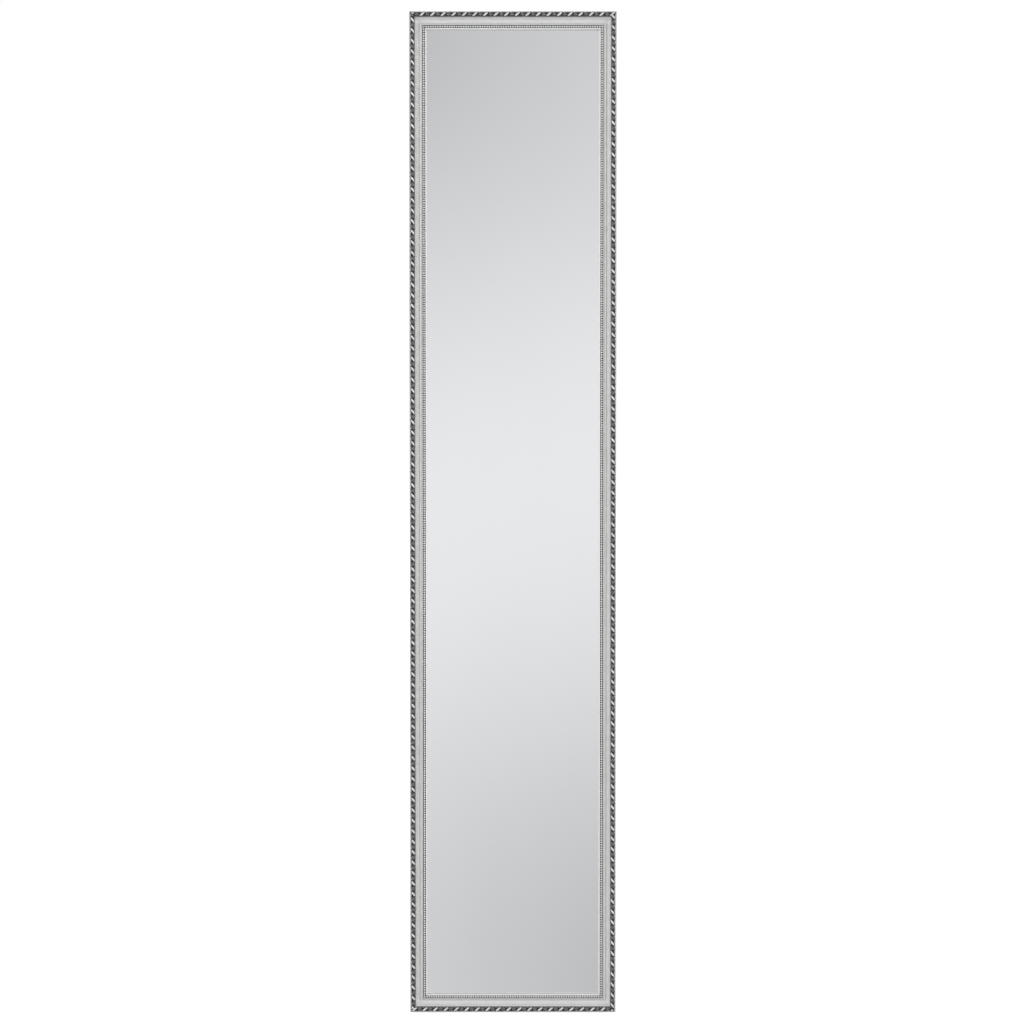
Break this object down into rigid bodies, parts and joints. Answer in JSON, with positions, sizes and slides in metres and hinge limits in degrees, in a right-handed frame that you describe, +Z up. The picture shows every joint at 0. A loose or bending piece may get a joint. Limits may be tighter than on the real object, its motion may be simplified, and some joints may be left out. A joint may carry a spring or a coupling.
{
  "type": "floor mirror",
  "caption": "Tall narrow floor mirror in a mitred silver moulding with carved leaves and pearl beading, on a folding rear strut.",
  "frame": {"origin": "on the floor, midway across the mirror and midway between the furthest front and rear of the open strut", "axes": "+Z up, +Y to the rear, towards the strut; the mirror faces -Y and leans back 9 degrees"},
  "size_m": [0.33, 0.3158, 1.5846],
  "materials": {
    "silver_moulding": "silver leaf over a wooden moulding, satin, with a dark patina in the quirks",
    "silver_ornament": "pressed composition ornament, silver leafed and rubbed, dark in the hollows",
    "mirror": "silvered float glass, polished",
    "hardboard": "brown hardboard, smooth face out",
    "pine": "planed pine, unfinished",
    "steel": "zinc plated steel",
    "rubber": "matt black rubber",
    "webbing": "black woven polypropylene webbing"
  },
  "bodies": {
    "mirror": {"top_moulding": "silver_moulding", "top_leaf_ornament": "silver_ornament", "top_pearl_beading": "silver_ornament", "bottom_moulding": "silver_moulding", "bottom_leaf_ornament": "silver_ornament", "bottom_pearl_beading": "silver_ornament", "left_moulding": "silver_moulding", "left_leaf_ornament": "silver_ornament", "left_pearl_beading": "silver_ornament", "right_moulding": "silver_moulding", "right_leaf_ornament": "silver_ornament", "right_pearl_beading": "silver_ornament", "mirror_glass": "mirror", "backing_board": "hardboard", "glass_setting_blocks": "rubber", "backing_points": "steel", "corner_v_nails": "steel", "crossbar": "pine", "crossbar_screws": "steel", "hinge_fixed_leaf": "steel", "hinge_fixed_screws": "steel", "hinge_pin": "steel", "strap_rail_screw": "steel", "strut_rest_buttons": "rubber", "left_hanger_plate": "steel", "right_hanger_plate": "steel", "hanger_screws": "steel", "left_wedge_foot": "rubber", "right_wedge_foot": "rubber", "limit_strap": "webbing"},
    "strut": {"strut_board": "pine", "hinge_moving_leaf": "steel", "hinge_strut_screws": "steel", "strap_strut_screw": "steel", "strut_foot_cap": "rubber"}
  },
  "joints": [
    {"name": "strut_hinge", "type": "hinge", "parent": "mirror", "child": "strut", "pos_m": [0, 0.03801, 0.98636], "axis": [-1, 0, 0], "range_deg": [0, 16], "deforming": ["limit_strap"]}
  ]
}
